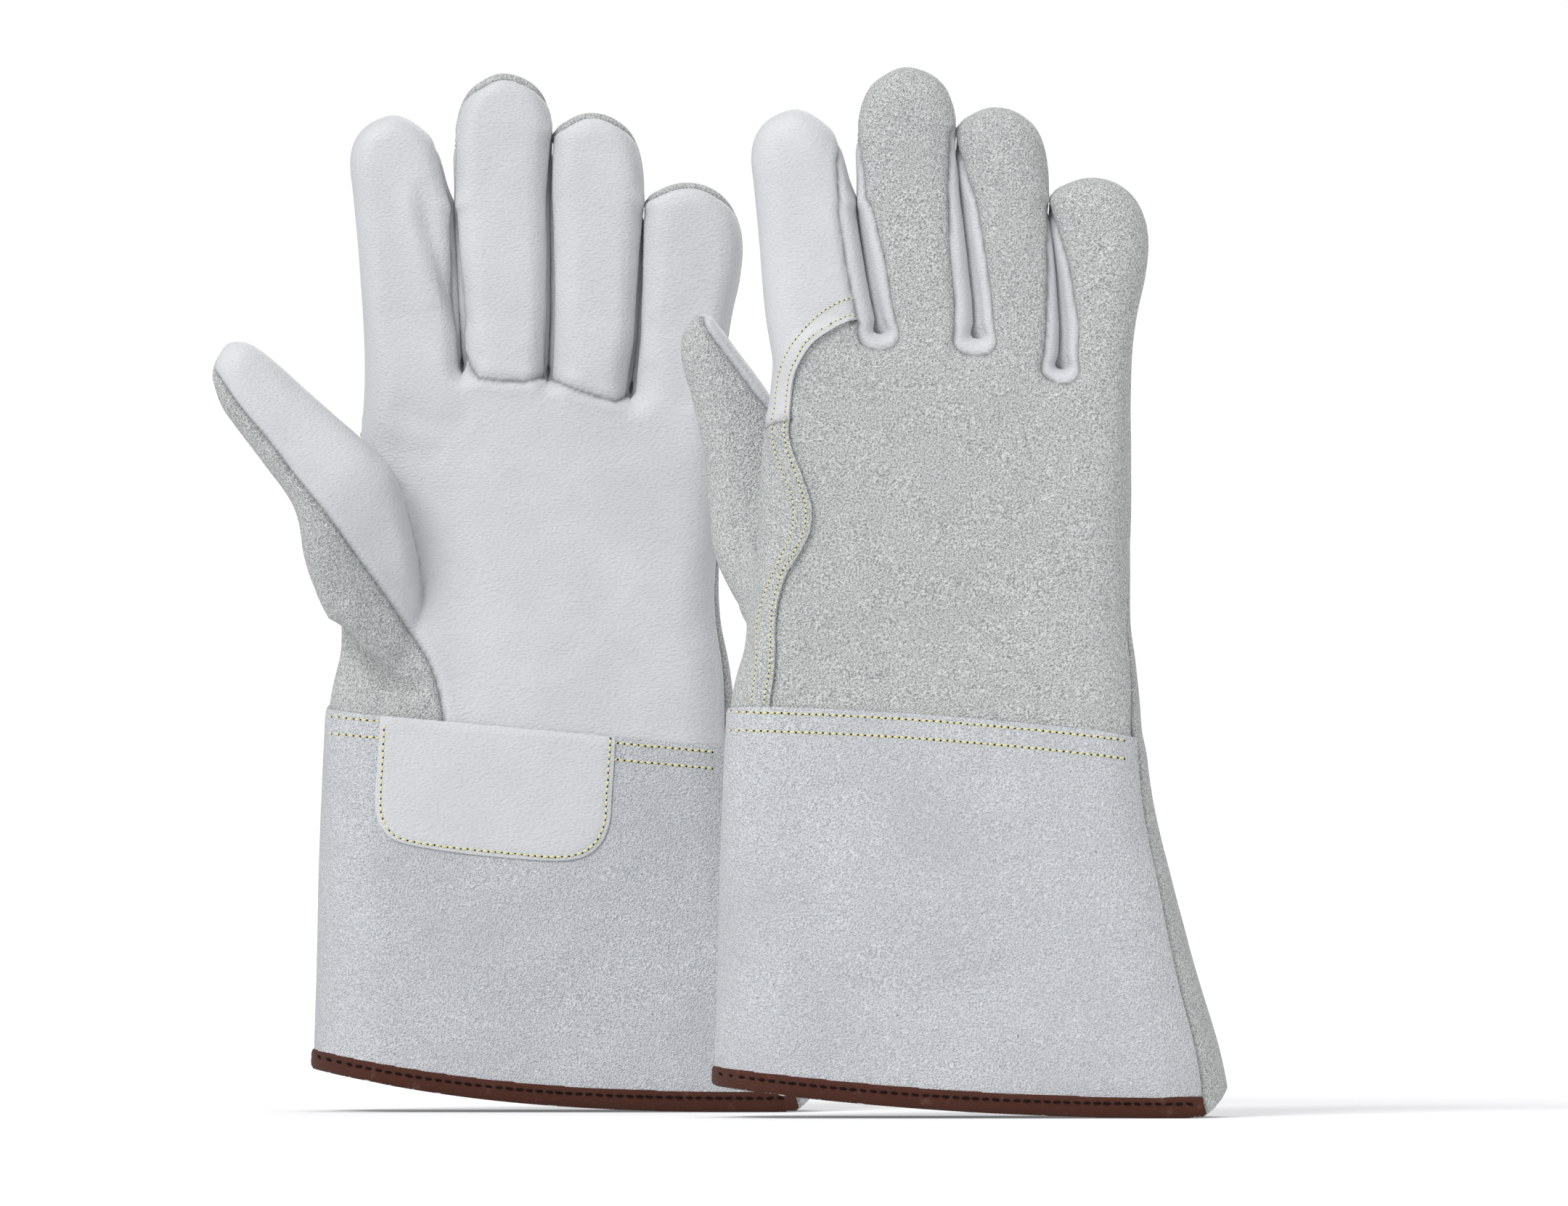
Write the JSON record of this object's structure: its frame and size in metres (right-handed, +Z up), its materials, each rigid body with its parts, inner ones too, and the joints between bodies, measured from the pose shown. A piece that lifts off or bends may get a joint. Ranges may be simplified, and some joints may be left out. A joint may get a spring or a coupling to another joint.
{
  "type": "welding gloves",
  "caption": "Leather welding gauntlets sewn from grain and split panels, with bending digits, gusseted flared cuffs and bound hems.",
  "frame": {"origin": "bottom centre of the pair's bounding box, at the level of the lowest hem corner", "axes": "+Z up along the fingers, +X to the right across both gloves, -Y towards the side that shows the left palm and the right back"},
  "size_m": [0.339, 0.177, 0.35],
  "materials": {
    "grain_leather": "smooth grain, pale grey",
    "split_leather": "suede, greenish grey",
    "cuff_leather": "fine suede, light bluish grey",
    "binding": "matt twill tape, dark reddish brown",
    "yellow_thread": "pale yellow sewing thread",
    "dark_thread": "dark brown sewing thread"
  },
  "bodies": {
    "left_cuff": {"left_cuff_palm_side": "cuff_leather", "left_cuff_back_side": "cuff_leather", "left_cuff_side_gusset": "split_leather", "left_hem_binding": "binding", "left_hem_thread": "dark_thread", "left_wrist_patch": "grain_leather", "left_patch_thread": "yellow_thread", "left_cuff_thread": "yellow_thread"},
    "left_hand": {"left_palm_panel": "grain_leather", "left_back_panel": "split_leather", "left_index_wrap_root": "grain_leather", "left_thumb_gusset": "split_leather", "left_back_seam_thread": "yellow_thread"},
    "left_index": {"left_index_wrap": "grain_leather", "left_index_fourchette": "grain_leather"},
    "left_middle": {"left_middle_front": "grain_leather", "left_middle_back": "split_leather", "left_middle_fourchettes": "grain_leather"},
    "left_ring": {"left_ring_front": "grain_leather", "left_ring_back": "split_leather", "left_ring_fourchettes": "grain_leather"},
    "left_little": {"left_little_front": "grain_leather", "left_little_back": "split_leather", "left_little_fourchette": "grain_leather"},
    "left_thumb": {"left_thumb_front": "grain_leather", "left_thumb_back": "split_leather"},
    "right_cuff": {"right_cuff_palm_side": "cuff_leather", "right_cuff_back_side": "cuff_leather", "right_cuff_side_gusset": "split_leather", "right_hem_binding": "binding", "right_hem_thread": "dark_thread", "right_wrist_patch": "grain_leather", "right_patch_thread": "yellow_thread", "right_cuff_thread": "yellow_thread"},
    "right_hand": {"right_palm_panel": "grain_leather", "right_back_panel": "split_leather", "right_index_wrap_root": "grain_leather", "right_thumb_gusset": "split_leather", "right_back_seam_thread": "yellow_thread"},
    "right_index": {"right_index_wrap": "grain_leather", "right_index_fourchette": "grain_leather"},
    "right_middle": {"right_middle_front": "grain_leather", "right_middle_back": "split_leather", "right_middle_fourchettes": "grain_leather"},
    "right_ring": {"right_ring_front": "grain_leather", "right_ring_back": "split_leather", "right_ring_fourchettes": "grain_leather"},
    "right_little": {"right_little_front": "grain_leather", "right_little_back": "split_leather", "right_little_fourchette": "grain_leather"},
    "right_thumb": {"right_thumb_front": "grain_leather", "right_thumb_back": "split_leather"}
  },
  "joints": [
    {"name": "left_wrist_bend", "type": "hinge", "parent": "left_cuff", "child": "left_hand", "pos_m": [-0.05967, 0.06, 0.133], "axis": [0.9968, 0, -0.0797], "range_deg": [-20, 20], "stiffness_Nm_per_rad": 0.4},
    {"name": "left_index_bend", "type": "hinge", "parent": "left_hand", "child": "left_index", "pos_m": [-0.10268, 0.052, 0.252], "axis": [0.9976, 0, 0.0698], "range_deg": [0, 75], "stiffness_Nm_per_rad": 0.05},
    {"name": "left_middle_bend", "type": "hinge", "parent": "left_hand", "child": "left_middle", "pos_m": [-0.06938, 0.0517, 0.252], "axis": [0.9997, 0, 0.0262], "range_deg": [0, 75], "stiffness_Nm_per_rad": 0.05},
    {"name": "left_ring_bend", "type": "hinge", "parent": "left_hand", "child": "left_ring", "pos_m": [-0.03807, 0.052, 0.248], "axis": [1, 0, 0], "range_deg": [0, 75], "stiffness_Nm_per_rad": 0.05},
    {"name": "left_little_bend", "type": "hinge", "parent": "left_hand", "child": "left_little", "pos_m": [-0.00827, 0.0524, 0.242], "axis": [0.999, 0, -0.0454], "range_deg": [0, 75], "stiffness_Nm_per_rad": 0.05},
    {"name": "left_thumb_bend", "type": "hinge", "parent": "left_hand", "child": "left_thumb", "pos_m": [-0.11668, 0.04, 0.191], "axis": [0.7986, 0, 0.6018], "range_deg": [0, 35], "stiffness_Nm_per_rad": 0.05},
    {"name": "right_glove_apart", "type": "slide", "parent": "left_cuff", "child": "right_cuff", "axis": [1, 0, 0], "range_m": [0, 0.2]},
    {"name": "right_wrist_bend", "type": "hinge", "parent": "right_cuff", "child": "right_hand", "pos_m": [0.07583, -0.06, 0.133], "axis": [-0.9968, 0, 0.0797], "range_deg": [-20, 20], "stiffness_Nm_per_rad": 0.4},
    {"name": "right_index_bend", "type": "hinge", "parent": "right_hand", "child": "right_index", "pos_m": [0.03283, -0.052, 0.252], "axis": [-0.9976, 0, -0.0698], "range_deg": [0, 75], "stiffness_Nm_per_rad": 0.05},
    {"name": "right_middle_bend", "type": "hinge", "parent": "right_hand", "child": "right_middle", "pos_m": [0.06613, -0.0517, 0.252], "axis": [-0.9997, 0, -0.0262], "range_deg": [0, 75], "stiffness_Nm_per_rad": 0.05},
    {"name": "right_ring_bend", "type": "hinge", "parent": "right_hand", "child": "right_ring", "pos_m": [0.09742, -0.052, 0.248], "axis": [-1, 0, 0], "range_deg": [0, 75], "stiffness_Nm_per_rad": 0.05},
    {"name": "right_little_bend", "type": "hinge", "parent": "right_hand", "child": "right_little", "pos_m": [0.12723, -0.0524, 0.242], "axis": [-0.999, 0, 0.0454], "range_deg": [0, 75], "stiffness_Nm_per_rad": 0.05},
    {"name": "right_thumb_bend", "type": "hinge", "parent": "right_hand", "child": "right_thumb", "pos_m": [0.01582, -0.04, 0.192], "axis": [-0.9677, 0, -0.2521], "range_deg": [0, 35], "stiffness_Nm_per_rad": 0.05}
  ]
}
